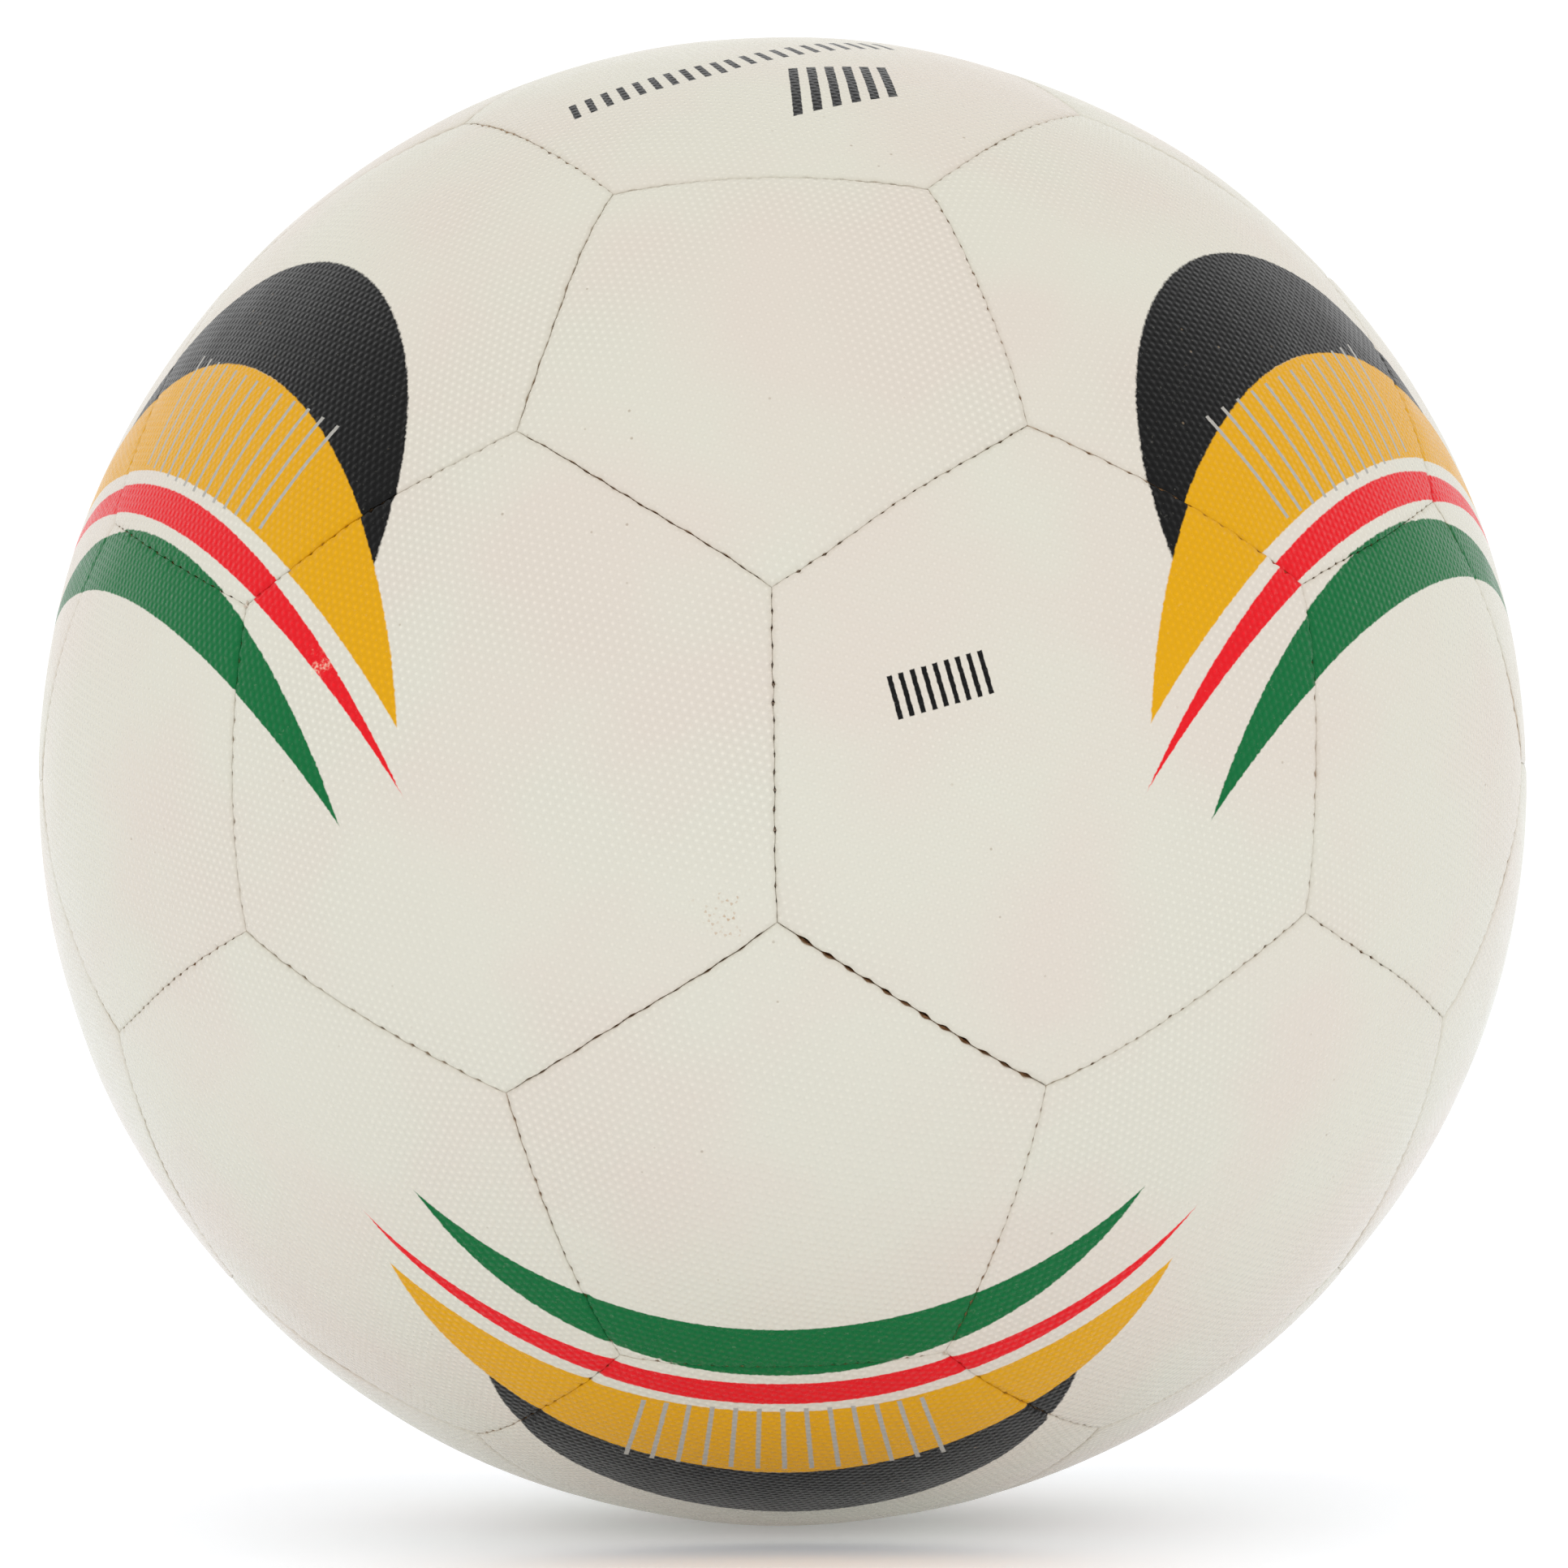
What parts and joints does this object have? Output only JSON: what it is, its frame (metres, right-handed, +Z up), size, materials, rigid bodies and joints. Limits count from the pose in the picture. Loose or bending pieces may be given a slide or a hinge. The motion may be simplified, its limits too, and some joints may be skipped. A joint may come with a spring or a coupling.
{
  "type": "soccer ball",
  "caption": "Sewn soccer ball of printed hexagonal and pentagonal panels on foam and fabric, over an air bladder with a needle valve.",
  "frame": {"origin": "centre of the ball", "axes": "+Z up; X, Y and Z each leave the ball through the middle of a seam between two hexagons; -Y faces the viewer; the valve points out along (-0.357, 0.934, 0)"},
  "size_m": [0.2196, 0.2196, 0.2196],
  "materials": {
    "printed_cover": "synthetic leather, warm white with black, yellow, green and red print, fine raised lattice, semi-gloss",
    "foam": "closed-cell foam sheet",
    "lining": "laminated woven polyester and cotton",
    "thread": "waxed polyester thread",
    "bladder_rubber": "smooth black butyl rubber",
    "valve_rubber": "moulded black rubber",
    "plug_rubber": "soft grey rubber",
    "patch": "rubber-coated cloth"
  },
  "bodies": {
    "root": {"hex_panel_01": "printed_cover", "hex_panel_02": "printed_cover", "hex_panel_03": "printed_cover", "hex_panel_04": "printed_cover", "hex_panel_05": "printed_cover", "hex_panel_06": "printed_cover", "hex_panel_07": "printed_cover", "hex_panel_08": "printed_cover", "hex_panel_09": "printed_cover", "hex_panel_10": "printed_cover", "hex_panel_11": "printed_cover", "hex_panel_12": "printed_cover", "hex_panel_13": "printed_cover", "hex_panel_14": "printed_cover", "hex_panel_15": "printed_cover", "hex_panel_16": "printed_cover", "hex_panel_17": "printed_cover", "hex_panel_18": "printed_cover", "hex_panel_19": "printed_cover", "hex_panel_20": "printed_cover", "pent_panel_01": "printed_cover", "pent_panel_02": "printed_cover", "pent_panel_03": "printed_cover", "pent_panel_04": "printed_cover", "pent_panel_05": "printed_cover", "pent_panel_06": "printed_cover", "pent_panel_07": "printed_cover", "pent_panel_08": "printed_cover", "pent_panel_09": "printed_cover", "pent_panel_10": "printed_cover", "pent_panel_11": "printed_cover", "pent_panel_12": "printed_cover", "hex_foam_pads": "foam", "pent_foam_pads": "foam", "hex_fabric_linings": "lining", "pent_fabric_linings": "lining", "hex_seam_threads": "thread", "pent_seam_threads": "thread", "bladder": "bladder_rubber", "valve_body": "valve_rubber", "valve_plug": "plug_rubber", "valve_backing_patch": "patch"}
  },
  "joints": []
}
